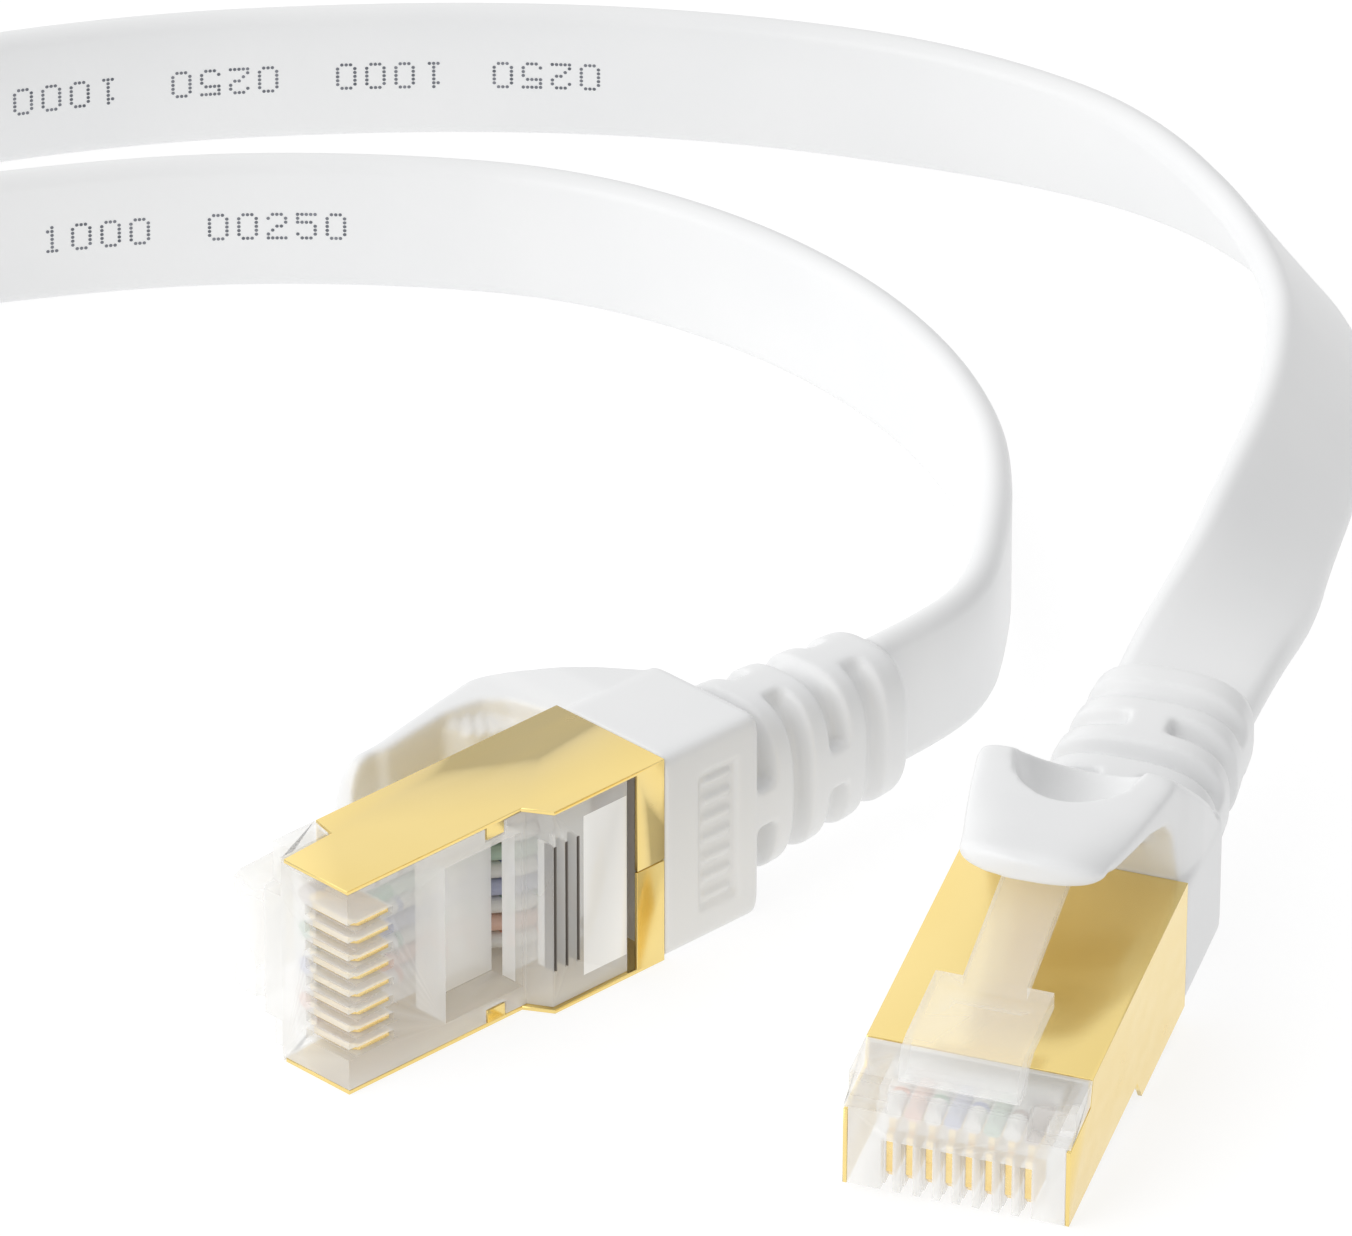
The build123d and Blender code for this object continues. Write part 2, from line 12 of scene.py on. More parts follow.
import bmesh
import bpy
import numpy as np
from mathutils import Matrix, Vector


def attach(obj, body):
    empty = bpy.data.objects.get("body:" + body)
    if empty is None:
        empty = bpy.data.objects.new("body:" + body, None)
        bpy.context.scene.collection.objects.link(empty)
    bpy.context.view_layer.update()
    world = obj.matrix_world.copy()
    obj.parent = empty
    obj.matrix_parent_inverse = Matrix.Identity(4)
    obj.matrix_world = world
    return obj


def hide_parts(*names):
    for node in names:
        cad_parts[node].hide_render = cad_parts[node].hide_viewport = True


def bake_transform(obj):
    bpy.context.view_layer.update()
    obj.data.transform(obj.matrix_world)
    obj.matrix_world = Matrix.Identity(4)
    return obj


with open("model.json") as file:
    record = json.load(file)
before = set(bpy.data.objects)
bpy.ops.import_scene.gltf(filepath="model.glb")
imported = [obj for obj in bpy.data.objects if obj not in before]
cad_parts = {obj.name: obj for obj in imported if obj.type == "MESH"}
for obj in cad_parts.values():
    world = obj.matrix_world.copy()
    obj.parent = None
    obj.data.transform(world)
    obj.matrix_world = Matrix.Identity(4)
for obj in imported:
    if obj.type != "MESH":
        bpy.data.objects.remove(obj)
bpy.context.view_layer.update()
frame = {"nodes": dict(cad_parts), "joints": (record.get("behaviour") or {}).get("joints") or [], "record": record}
MM = 0.001

# %% [markdown]
# A plug is easiest to describe in its own lengths: so far back from the nose, so far across, so high
# above the contact face.  The record holds where each plug's nose is and which way its guard's hinge
# runs, and those two directions and a cross product give the whole frame of a plug.

# %% The two plugs' own frames
PLUG_HEIGHT = 6.33
MOUNTS = {mount["name"]: mount for mount in frame["record"]["mounts"]}
JOINTS = {joint["name"]: joint for joint in frame["joints"]}


def plug_frame(letter):
    """Origin and three unit directions of a plug: out of the nose, across, and up to the latch."""
    out = np.array(MOUNTS[f"plug_{letter}_jack"]["axis"], float)
    across = np.array(JOINTS[f"guard_{letter}_press"]["axis"], float)
    up = np.cross(out, across)
    origin = np.array(MOUNTS[f"plug_{letter}_jack"]["pos_m"]) - up * PLUG_HEIGHT / 2 * MM
    return origin, out, across, up


PLUGS = {letter: plug_frame(letter) for letter in "ab"}


def placed(letter, back, across, height):
    """Points of one plug, given as arrays in millimetres, in the shared frame in metres."""
    origin, out, side, up = PLUGS[letter]
    back, across, height = (np.asarray(value, float)[..., None] * MM for value in (back, across, height))
    return origin - back * out + across * side + height * up


for letter in PLUGS:
    print("plug", letter, "boot ends at", placed(letter, 39.0, 0, 2.4).round(4))

# %% [markdown]
# Most new pieces here are sheets of points: rows along the piece and columns round it.  One function
# turns such a grid into a mesh.  It joins each column to the next, closes the two ends with a fan of
# triangles round their middles, and lets bmesh turn every face outwards.


# %% Grid of points to mesh
def linked(name, mesh):
    """A new object for a mesh, in the scene."""
    thing = bpy.data.objects.new(name, mesh)
    bpy.context.scene.collection.objects.link(thing)
    return thing


def tube_mesh(name, points, uv=None):
    """Mesh of a grid (rows, columns, 3) that closes round its columns and has both ends filled."""
    rows, columns = points.shape[:2]
    index = np.arange(rows * columns).reshape(rows, columns)
    here, beside = index, np.roll(index, -1, axis=1)
    quads = np.stack([here[:-1], beside[:-1], beside[1:], here[1:]], axis=-1).reshape(-1, 4)
    ends = [np.stack([here[0], beside[0], np.full(columns, rows * columns)], axis=-1)]
    ends += [np.stack([beside[-1], here[-1], np.full(columns, rows * columns + 1)], axis=-1)]
    middles = np.stack([points[0].mean(axis=0), points[-1].mean(axis=0)])
    mesh = bpy.data.meshes.new(name)
    faces = quads.tolist() + ends[0].tolist() + ends[1].tolist()
    mesh.from_pydata(np.vstack([points.reshape(-1, 3), middles]).tolist(), [], faces)
    mesh.polygons.foreach_set("use_smooth", np.ones(len(faces), bool))
    if uv is not None:
        across = np.arange(columns)
        u, v = uv
        corner_rows = np.array([0, 0, 1, 1])
        corner_columns = np.array([0, 1, 1, 0])
        row = np.arange(rows - 1)[:, None, None] + corner_rows
        column = across[None, :, None] + corner_columns
        pairs = np.stack([u[row + 0 * column], v[column + 0 * row]], axis=-1).reshape(-1, 2)
        layer = mesh.uv_layers.new(name="surface")
        values = np.zeros((len(mesh.loops), 2))
        values[: len(pairs)] = pairs
        layer.data.foreach_set("uv", values.ravel())
    work = bmesh.new()
    work.from_mesh(mesh)
    bmesh.ops.recalc_face_normals(work, faces=work.faces)
    work.to_mesh(mesh)
    work.free()
    return mesh


# %% [markdown]
# ## The cord
#
# The real cord is extruded flat, 7.8 mm by 1.8 mm, so it lies on its edge like a ribbon and only bends
# the thin way.  Its whole metre is one line here: out of plug A's boot, along the table, into a coil
# wound double from its middle, and back to plug B.  A NURBS spline through that route keeps the curve
# smooth, and a flat section is carried along the points that it gives.

# %% Route of the cord in millimetres
CORD_WIDTH = 7.8
CORD_THICKNESS = 1.8
ON_EDGE = CORD_WIDTH / 2
ROUTE_A = [
    (-27.0, 0.0, 5.84),
    (-31.6, 0.0, 5.84),
    (-36.4, -1.5, 5.5),
    (-41.4, -5.4, 4.9),
    (-46.4, -9.9, 4.2),
    (-51.3, -15.3, ON_EDGE),
    (-55.2, -22.5, ON_EDGE),
    (-57.6, -31.0, ON_EDGE),
    (-57.8, -40.8, ON_EDGE),
    (-55.2, -50.7, ON_EDGE),
    (-49.4, -58.8, ON_EDGE),
    (-42.0, -66.2, ON_EDGE),
    (-33.4, -71.9, ON_EDGE),
    (-24.2, -76.8, ON_EDGE),
    (-14.6, -83.6, ON_EDGE),
    (-4.8, -91.0, ON_EDGE),
]
ROUTE_B = [
    (-35.71, 13.5, 7.46),
    (-40.1, 11.18, 8.07),
    (-49.0, 5.8, 6.5),
    (-56.4, 0.6, 5.6),
    (-63.2, -4.0, 4.7),
    (-69.9, -9.0, 4.1),
    (-76.4, -15.2, ON_EDGE),
    (-81.2, -24.0, ON_EDGE),
    (-83.6, -34.4, ON_EDGE),
    (-81.4, -44.4, ON_EDGE),
    (-76.7, -54.1, ON_EDGE),
    (-69.9, -63.7, ON_EDGE),
    (-61.2, -72.5, ON_EDGE),
    (-50.6, -80.9, ON_EDGE),
    (-37.9, -87.4, ON_EDGE),
    (-24.5, -92.0, ON_EDGE),
    (-10.6, -96.2, ON_EDGE),
]

# %% [markdown]
# The coil is a spiral with two arms, because the cord is folded in half and wound from the fold.  Each
# arm's radius falls by two strands a turn.  At the middle the fold makes an S of two half circles, each
# as wide as the coil's inner radius.  The control points stand a little outside the circle, since a
# spline of order 3 cuts inside them by the cosine of half a step.

# %% Control points of the coil
COIL_CENTRE = (36.6, -72.0)
COIL_ENTRY = 236.0
COIL_OUTER = 44.46
COIL_INNER = 36.0
COIL_RUN = 10.0
STRAND_PITCH = 3.2
TIE_ANGLE = 318.0
TIE_RISE = 0.65
STEPS_PER_TURN = 24
BEND_STEPS = 8


def coil_arm(strand):
    """One arm from the entry inwards: radius falls evenly with angle, height rises over the tie."""
    outer = COIL_OUTER - strand * STRAND_PITCH
    sweep = (outer - COIL_INNER) / (2 * STRAND_PITCH) * 360
    steps = round(sweep / 360 * STEPS_PER_TURN)
    angle = COIL_ENTRY + sweep * np.arange(steps + 1) / steps
    radius = (outer - 2 * STRAND_PITCH * (angle - COIL_ENTRY) / 360) / cos(pi / STEPS_PER_TURN)
    from_tie = np.abs((angle - TIE_ANGLE + 180) % 360 - 180)
    height = ON_EDGE + TIE_RISE * np.clip(2.0 - from_tie / 15, 0, 1)
    x = COIL_CENTRE[0] + radius * np.cos(np.radians(angle))
    y = COIL_CENTRE[1] + radius * np.sin(np.radians(angle))
    return np.stack([x, y, height], axis=-1), angle[-1]


def fold(end_angle, turn):
    """Half circle from an arm's inner end to the coil's centre, without its two end points."""
    step = pi * np.arange(1, BEND_STEPS) / BEND_STEPS
    reach = COIL_INNER / 2
    angle = radians(end_angle) + turn * step
    spread = reach / cos(pi / BEND_STEPS / 2)
    x = COIL_CENTRE[0] + reach * cos(radians(end_angle)) + spread * np.cos(angle)
    y = COIL_CENTRE[1] + reach * sin(radians(end_angle)) + spread * np.sin(angle)
    return np.stack([x, y, np.full_like(x, ON_EDGE)], axis=-1)


def coil_approach(strand):
    """Point on the tangent before a strand's entry, where its lead straightens up to the coil."""
    radius = COIL_OUTER - strand * STRAND_PITCH
    angle = radians(COIL_ENTRY)
    x = COIL_CENTRE[0] + radius * cos(angle) + COIL_RUN * sin(angle)
    y = COIL_CENTRE[1] + radius * sin(angle) - COIL_RUN * cos(angle)
    return np.array([[x, y, ON_EDGE]])


arm_a, end_a = coil_arm(1)
arm_b, end_b = coil_arm(0)
centre = np.array([[*COIL_CENTRE, ON_EDGE]])
route = np.vstack([
    np.array(ROUTE_A), coil_approach(1), arm_a, fold(end_a, 1), centre,
    fold(end_b, 1)[::-1], arm_b[::-1], coil_approach(0), np.array(ROUTE_B)[::-1],
]) * MM
print("control points of the cord:", len(route))

# %% Smooth line through the route
PER_POINT = 12


def spline_line(points):
    """Points along an open NURBS spline of order 3 that starts and ends on its control points."""
    curve = bpy.data.curves.new("route", "CURVE")
    curve.dimensions = "3D"
    curve.resolution_u = PER_POINT
    spline = curve.splines.new("NURBS")
    spline.points.add(len(points) - 1)
    spline.points.foreach_set("co", np.hstack([points, np.ones((len(points), 1))]).ravel())
    spline.order_u = 3
    spline.use_endpoint_u = True
    holder = linked("route", curve)
    line_mesh = bpy.data.meshes.new_from_object(holder)
    line = np.zeros(len(line_mesh.vertices) * 3)
    line_mesh.vertices.foreach_get("co", line)
    bpy.data.objects.remove(holder)
    bpy.data.meshes.remove(line_mesh)
    return line.reshape(-1, 3)


line = spline_line(route)
steps = np.linalg.norm(np.diff(line, axis=0), axis=1)
line = line[np.concatenate([[True], steps > 1e-6])]
travelled = np.concatenate([[0], np.cumsum(np.linalg.norm(np.diff(line, axis=0), axis=1))])
print("cord length", round(float(travelled[-1]), 4), "m in", len(line), "points")

# %% [markdown]
# Behind plug B the cord leaves the boot lying flat and turns over until it stands on its edge.  So the
# section needs a tilt at every point: 0 degrees stands on edge, 90 lies flat.  The tilt is listed at
# even steps of the first stretch behind plug B, then eased so that the twist has no corners.

# %% Section carried along the line
TWIST_LENGTH = 0.0865
TWIST_TILTS = [87.5, 73, 52, 44, 42, 40, 30, 13, 0]
FLAT_STEPS = 6
ROUND_STEPS = 10


def cord_section():
    """Flat bar with half-round edges: two arcs of the half thickness joined by straight faces."""
    reach = (CORD_WIDTH - CORD_THICKNESS) / 2
    arc = np.linspace(-pi / 2, pi / 2, ROUND_STEPS + 1)
    along_face = np.linspace(reach, -reach, FLAT_STEPS + 1)[1:-1]
    radius = CORD_THICKNESS / 2
    right = np.stack([reach + radius * np.cos(arc), radius * np.sin(arc)], axis=-1)
    top = np.stack([along_face, np.full_like(along_face, radius)], axis=-1)
    half = np.vstack([right, top])
    return np.vstack([half, -half]) * MM


def unit(vectors):
    return vectors / np.linalg.norm(vectors, axis=-1, keepdims=True)


def cord_frame(line, travelled):
    """Directions across the width and across the thickness at each point of the line."""
    along = unit(np.gradient(line, axis=0))
    left = unit(np.stack([-along[:, 1], along[:, 0], np.zeros(len(along))], axis=-1))
    up = np.cross(along, left)
    from_b = travelled[-1] - travelled
    places = np.linspace(0, TWIST_LENGTH, len(TWIST_TILTS))
    fine = np.linspace(-0.02, 0.12, 400)
    tilt = np.interp(fine, places, TWIST_TILTS)
    window = np.hanning(31)
    eased = np.convolve(np.pad(tilt, 15, mode="edge"), window / window.sum(), mode="valid")
    angle = np.radians(np.interp(from_b, fine, eased))[:, None]
    across = up * np.cos(angle) - left * np.sin(angle)
    return across, np.cross(across, along)


section = cord_section()
across, outward = cord_frame(line, travelled)
cord_points = line[:, None] + section[:, 0, None] * across[:, None] + section[:, 1, None] * outward[:, None]
round_section = np.linalg.norm(np.diff(np.vstack([section, section[:1]]), axis=0), axis=1)
cord_mesh = tube_mesh("cord", cord_points, (travelled, np.concatenate([[0], np.cumsum(round_section)])))
cord = linked("flat_cord", cord_mesh)
print("cord rings", len(line), "faces", len(cord_mesh.polygons), "lowest", cord_points[..., 2].min().round(5))

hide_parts("cable_lead_a", "cable_twist_b", "cable_lead_b", "cable_coil")
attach(cord, "root")

# %% [markdown]
# A cord like this carries a row of ink-jet dots that says how far along it you are.  Here the marks are
# plain numbers.  Every dot is a small flat disc that lies on the face of the cord, so the marks need no
# texture file: a digit is seven rows of five places, and a place with a 1 gets a disc.

# %% Dotted numbers on the cord
DIGITS = {
    "0": "01110 10001 10001 10001 10001 10001 01110", "1": "00100 01100 00100 00100 00100 00100 01110",
    "2": "01110 10001 00001 00110 01000 10000 11111", "3": "11110 00001 00001 01110 00001 00001 11110",
    "4": "00010 00110 01010 10010 11111 00010 00010", "5": "11111 10000 11110 00001 00001 10001 01110",
    "6": "00110 01000 10000 11110 10001 10001 01110", "7": "11111 00001 00010 00100 01000 01000 01000",
    "8": "01110 10001 10001 01110 10001 10001 01110",
}
DOT_PITCH = 0.24
DOT_RADIUS = 0.1
DIGIT_PITCH = 1.62
DOT_CORNERS = 8
NUMBERS_A = {95.8: "1000", 86.6: "00250"}
NUMBERS_B = {103.2: "0250", 111.9: "1000", 121.1: "0250", 130.1: "1000"}


def dot_places(text):
    """Places of a number's dots in millimetres: along the reading direction, and up from its middle."""
    bits = np.array([[list(row) for row in DIGITS[digit].split()] for digit in text]) == "1"
    digit, row, column = np.nonzero(bits)
    return digit * DIGIT_PITCH + column * DOT_PITCH, (3 - row) * DOT_PITCH


def number_discs(text, start, reading, side):
    """Discs on one face: reading is +1 or -1 along the cord's line, and so is side for its two faces."""
    ahead, high = dot_places(text)
    place = start * MM + reading * ahead * MM
    at = np.stack([np.interp(place, travelled, line[:, axis]) for axis in range(3)], axis=-1)
    upward = np.stack([np.interp(place, travelled, across[:, axis]) for axis in range(3)], axis=-1)
    normal = side * np.stack([np.interp(place, travelled, outward[:, axis]) for axis in range(3)], axis=-1)
    forward = np.cross(upward, normal)
    middle = at + upward * (high * side * -reading * MM)[:, None] + normal * (CORD_THICKNESS / 2 + 0.012) * MM
    turn = np.linspace(0, 2 * pi, DOT_CORNERS, endpoint=False)[None, :, None]
    rim = np.cos(turn) * forward[:, None] + np.sin(turn) * upward[:, None]
    return middle[:, None] + rim * DOT_RADIUS * MM


end = travelled[-1] / MM
discs = [number_discs(text, start, -1, 1) for start, text in NUMBERS_A.items()]
discs += [number_discs(text, end - start, -1, -1) for start, text in NUMBERS_B.items()]
discs = np.vstack(discs)
legend_mesh = bpy.data.meshes.new("legend")
legend_mesh.from_pydata(
    discs.reshape(-1, 3).tolist(), [], np.arange(discs.shape[0] * DOT_CORNERS).reshape(-1, DOT_CORNERS).tolist()
)
legend = linked("length_numbers", legend_mesh)
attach(legend, "root")
print("dots on the cord", len(discs))

# %% [markdown]
# ## The boot
#
# The boot is one soft white moulding: a box behind the metal shell, a ribbed neck that stops the cord
# from kinking, and a hood over the latch with a hollow for the thumb.  Each of the three is a closed
# sheet round the plug's axis.  Voxel remeshing melts them into one skin, and smoothing rounds
# every edge the way soft vinyl comes out of its mould.

# %% Shapes that the boot is made of
RING = 220


def smoothstep(low, high, value):
    """0 below low, 1 above high, and an S-shaped rise between them."""
    share = np.clip((value - low) / (high - low), 0, 1)
    return share * share * (3 - 2 * share)


def soft_min(first, second, blend_width):
    """The lower of two heights, with the crossing rounded over blend_width."""
    share = np.clip(0.5 + (second - first) / (2 * blend_width), 0, 1)
    return second * (1 - share) + first * share - blend_width * share * (1 - share)


def squared_ring(half_width, half_height, exponent):
    """Superellipse in polar form: (|cos/a|^n + |sin/b|^n)^(-1/n) from the middle at even angles."""
    angle = np.linspace(0, 2 * pi, RING, endpoint=False)[None, :]
    a, b, n = (np.asarray(value, float).reshape(-1, 1) for value in (half_width, half_height, exponent))
    radius = (np.abs(np.cos(angle) / a) ** n + np.abs(np.sin(angle) / b) ** n) ** (-1 / n)
    return radius * np.cos(angle), radius * np.sin(angle)


def eased_line(at, places, values, width):
    """Straight lines between the given values, with the corners rounded over a width."""
    offsets = np.linspace(-width / 2, width / 2, 9)
    return np.mean([np.interp(at + offset, places, values) for offset in offsets], axis=0)


# %% The ribbed neck
CORD_HEIGHT = 2.4
BOX_END, NECK_END = 27.3, 39.0
GROOVE_FIRST, GROOVE_PITCH, GROOVE_COUNT = 28.1, 2.75, 4
GROOVE_HALF = 0.6
BRIDGE_HALF = 1.0


def neck_points():
    """Tapering ring whose radius drops to a core in each groove, except where a bridge crosses it."""
    back = np.linspace(BOX_END - 0.8, NECK_END, 150)
    taper = (back - BOX_END) / (NECK_END - BOX_END)
    ending = np.sqrt(np.clip(1 - np.clip((back - NECK_END + 0.8) / 0.8, 0, 1) ** 2, 0, 1))
    half_width = 4.95 - 0.7 * taper - 0.5 * (1 - ending)
    half_height = 3.8 - 0.6 * taper - 0.5 * (1 - ending)
    across, height = squared_ring(half_width, half_height, np.full_like(back, 2.9))
    core_across, core_height = squared_ring(np.full_like(back, 4.1), np.full_like(back, 2.6), np.full_like(back, 2.6))
    for number in range(GROOVE_COUNT):
        distance = np.abs(back - GROOVE_FIRST - number * GROOVE_PITCH)[:, None]
        groove = 1 - smoothstep(GROOVE_HALF - 0.35, GROOVE_HALF + 0.3, distance)
        beside = np.abs(across) if number % 2 == 0 else np.abs(height)
        groove = groove * smoothstep(BRIDGE_HALF - 0.1, BRIDGE_HALF + 0.7, beside)
        across = across + (core_across - across) * groove
        height = height + (core_height - height) * groove
    return np.broadcast_to(back[:, None], across.shape), across, height + CORD_HEIGHT


# %% The box behind the shell
SHELL_END = 20.6
PLUG_WIDTH = 11.68
BOX_STEP = 1.6
BADGE_START, BADGE_END, BADGE_HALF, BADGE_DEPTH = 22.9, 25.7, 3.9, 0.3
GRIP_BARS = 7
REAR_ROUND = 0.5


def badge_depth(back, across):
    """Shallow recess with soft walls, and a row of low grip bars standing in it."""
    inside = smoothstep(BADGE_START, BADGE_START + 0.12, back) * smoothstep(-BADGE_END, 0.12 - BADGE_END, -back)
    inside = inside * smoothstep(-BADGE_HALF, 0.12 - BADGE_HALF, -np.abs(across))
    pitch = 2 * BADGE_HALF / GRIP_BARS
    from_bar = np.abs((across + BADGE_HALF) % pitch - pitch / 2)
    bar = smoothstep(-0.28, -0.14, -from_bar) * smoothstep(-1.0, -0.85, -np.abs(back - (BADGE_START + BADGE_END) / 2))
    return BADGE_DEPTH * inside * (1 - 0.85 * bar)


def box_points():
    """Squared ring from the contact side to just under the latch face, closed at the rear with a round edge."""
    straight_end = BOX_END - REAR_ROUND
    rear = straight_end + REAR_ROUND * np.sin(np.linspace(0, pi / 2, 12))[1:]
    back = np.concatenate([np.linspace(SHELL_END + 0.02, straight_end, 60), rear])
    into_round = np.clip((back - straight_end) / REAR_ROUND, 0, 1)
    rounding = 0.45 * (1 - np.sqrt(np.clip(1 - into_round ** 2, 0, 1)))
    low, high = -BOX_STEP, PLUG_HEIGHT - 0.05
    across, height = squared_ring(PLUG_WIDTH / 2 - rounding, (high - low) / 2 - rounding, np.full_like(back, 14.0))
    back = np.broadcast_to(back[:, None], across.shape)
    return back, across, height + (low + high) / 2 + badge_depth(back, across) * (height < -3)


# %% The hood over the latch
GUARD_FRONT, LIP_START = 11.3, 13.0
LIP_HALF = 3.8
LIP_POWER = 2.6
BOWL_CENTRE, BOWL_RADII = (21.3, 13.6), (4.1, 3.45, 4.3)


def hood_points():
    """Closed ring between an upper and a lower profile; the thumb bowl lowers the upper one."""
    turn = np.linspace(0.06, pi / 2, 30)
    back = np.concatenate([LIP_START - (LIP_START - GUARD_FRONT) * np.cos(turn), np.linspace(LIP_START, 27.0, 150)[1:]])
    top = eased_line(
        back, [11.3, 11.5, 12.0, 14.0, 17.0, 20.9, 22.0, 24.9, 26.6, 27.2],
        [12.95, 13.1, 13.2, 12.9, 12.6, 12.5, 11.4, 8.4, 6.0, 5.2], 0.4,
    )
    under = eased_line(
        back, [11.3, 13.2, 13.7, 17.5, 19.4, 20.2, 20.6, 20.9, 27.0],
        [11.75, 11.7, 11.4, 11.05, 10.3, 9.2, 7.0, 4.6, 4.6], 0.3,
    )
    ahead = np.clip((LIP_START - back) / (LIP_START - GUARD_FRONT), 0, 1)
    lip = LIP_HALF * (1 - ahead ** LIP_POWER) ** (1 / LIP_POWER)
    waist = eased_line(
        back, [13.0, 15.3, 18.0, 20.8, 21.7, 23.5, 27.0],
        [LIP_HALF, 4.3, 4.8, 5.25, 5.5, 5.78, 5.78], 0.5,
    )
    half_width = np.where(back < LIP_START, lip, waist)
    exponent = np.interp(back, [13, 19, 20.2], [6.0, 7.0, 10.0])
    across, height = squared_ring(half_width, (top - under) / 2, exponent)
    middle = ((top + under) / 2)[:, None]
    height = height + middle
    crown = np.interp(back, [11.3, 14.0, 17.0, 20.0], [0.6, 0.45, 0.15, 0.0])[:, None]
    height = np.where(height > middle, height - crown * np.abs(across / half_width[:, None].clip(0.01)) ** 4, height)
    web = eased_line(back, [17.2, 18.1, 19.4, 20.2, 20.6], [0, 1.0, 1.2, 0.7, 0], 0.3)[:, None]
    web = web * smoothstep(-4.2, -3.6, -np.abs(across))
    back = np.broadcast_to(back[:, None], across.shape)
    reach = 1 - ((back - BOWL_CENTRE[0]) / BOWL_RADII[0]) ** 2 - (across / BOWL_RADII[1]) ** 2
    bowl = BOWL_CENTRE[1] - BOWL_RADII[2] * np.sqrt(np.clip(reach, 0, 1))
    bowl = np.where(reach > 0, bowl, 20.0)
    return back, across, np.where(height > middle, soft_min(height, bowl, 0.2), height - web)


# %% Melt the boot into one skin
BOOT_VOXEL = 0.13
GUARD_HINGE_START, GUARD_HINGE_END = 22.9, 20.4


def applied(thing):
    """Replace the object's mesh by what its modifiers make of it."""
    bpy.context.view_layer.update()
    finished = bpy.data.meshes.new_from_object(thing.evaluated_get(bpy.context.evaluated_depsgraph_get()))
    thing.modifiers.clear()
    thing.data = finished
    return thing


def joined_mesh(name, meshes):
    """One mesh that holds several closed shells."""
    work = bmesh.new()
    for mesh in meshes:
        work.from_mesh(mesh)
    whole = bpy.data.meshes.new(name)
    work.to_mesh(whole)
    work.free()
    return whole


def make_boot(letter):
    shells = [tube_mesh("shell", placed(letter, *shape())) for shape in (neck_points, box_points, hood_points)]
    boot = linked(f"{letter}_moulded_boot", joined_mesh("boot", shells))
    melt = boot.modifiers.new("melt", "REMESH")
    melt.mode = "VOXEL"
    melt.voxel_size = BOOT_VOXEL * MM
    soften = boot.modifiers.new("soften", "SMOOTH")
    soften.factor = 0.5
    soften.iterations = 5
    applied(boot)
    boot.data.polygons.foreach_set("use_smooth", np.ones(len(boot.data.polygons), bool))
    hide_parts(f"{letter}_boot", f"{letter}_latch_guard")
    start, end = (placed(letter, back, 0, 7.0) for back in (GUARD_HINGE_START, GUARD_HINGE_END))
    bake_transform(boot)
    print(boot.name, "faces", len(boot.data.polygons))
    return boot


BOOTS = [make_boot(letter) for letter in PLUGS]

# %% [markdown]
# ## Clear plastic and folded gold
#
# The remaining plug pieces have the right shape in the frame, but their edges are knife sharp.  Light
# shows an edge only where it is round.  So a copy of each is merged, its flat faces are joined up and a
# narrow bevel rounds the edges.


# %% Rounded copies of the plug pieces
def rounded_copy(node, name, radius, body):
    """Copy of a piece of the frame with a narrow bevel on every edge sharper than 35 degrees."""
    work = bmesh.new()
    work.from_mesh(frame["nodes"][node].data)
    bmesh.ops.remove_doubles(work, verts=work.verts, dist=1e-6)
    bmesh.ops.dissolve_limit(work, angle_limit=radians(1), verts=work.verts, edges=work.edges)
    mesh = bpy.data.meshes.new(name)
    work.to_mesh(mesh)
    work.free()
    copy = linked(name, mesh)
    bevel = copy.modifiers.new("edges", "BEVEL")
    bevel.width = radius * MM
    bevel.segments = 2
    bevel.limit_method = "ANGLE"
    bevel.angle_limit = radians(35)
    bevel.harden_normals = True
    applied(copy)
    copy.data.polygons.foreach_set("use_smooth", np.ones(len(copy.data.polygons), bool))
    copy.data.set_sharp_from_angle(angle=radians(35))
    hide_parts(node)
    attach(copy, body)
    return copy


HOUSINGS, LATCHES, SHELLS = [], [], []
for letter in PLUGS:
    HOUSINGS.append(rounded_copy(f"{letter}_housing", f"{letter}_clear_housing", 0.09, "root"))
    LATCHES.append(rounded_copy(f"{letter}_latch", f"{letter}_clear_latch", 0.12, f"latch_{letter}"))
    SHELLS.append(rounded_copy(f"{letter}_shield_shell", f"{letter}_gold_shell", 0.08, "root"))
for piece in HOUSINGS + LATCHES + SHELLS:
    print(piece.name, "faces", len(piece.data.polygons))

# %% [markdown]
# ## Materials
#
# Shader maths reads better as Python.  A Signal wraps one socket, and adding or multiplying signals
# adds the Math nodes.  A Finish is one material in the making, and its node method adds any node.


# %% Signal and Finish
class Signal:
    """A value on its way through a material's nodes."""

    def __init__(self, finish, socket):
        self.finish, self.socket = finish, socket

    def math(self, operation, *values):
        return self.finish.node("ShaderNodeMath", {"operation": operation}, dict(enumerate(values)))

    def __add__(self, other):
        return self.math("ADD", self, other)

    def __mul__(self, other):
        return self.math("MULTIPLY", self, other)

    def __sub__(self, other):
        return self.math("SUBTRACT", self, other)

    def __rsub__(self, other):
        return self.math("SUBTRACT", other, self)

    def __gt__(self, other):
        return self.math("GREATER_THAN", self, other)

    def between(self, low, high):
        """1 where the value lies between two limits, else 0."""
        return (self > low) * self.math("LESS_THAN", self, high)

    __radd__, __rmul__ = __add__, __mul__


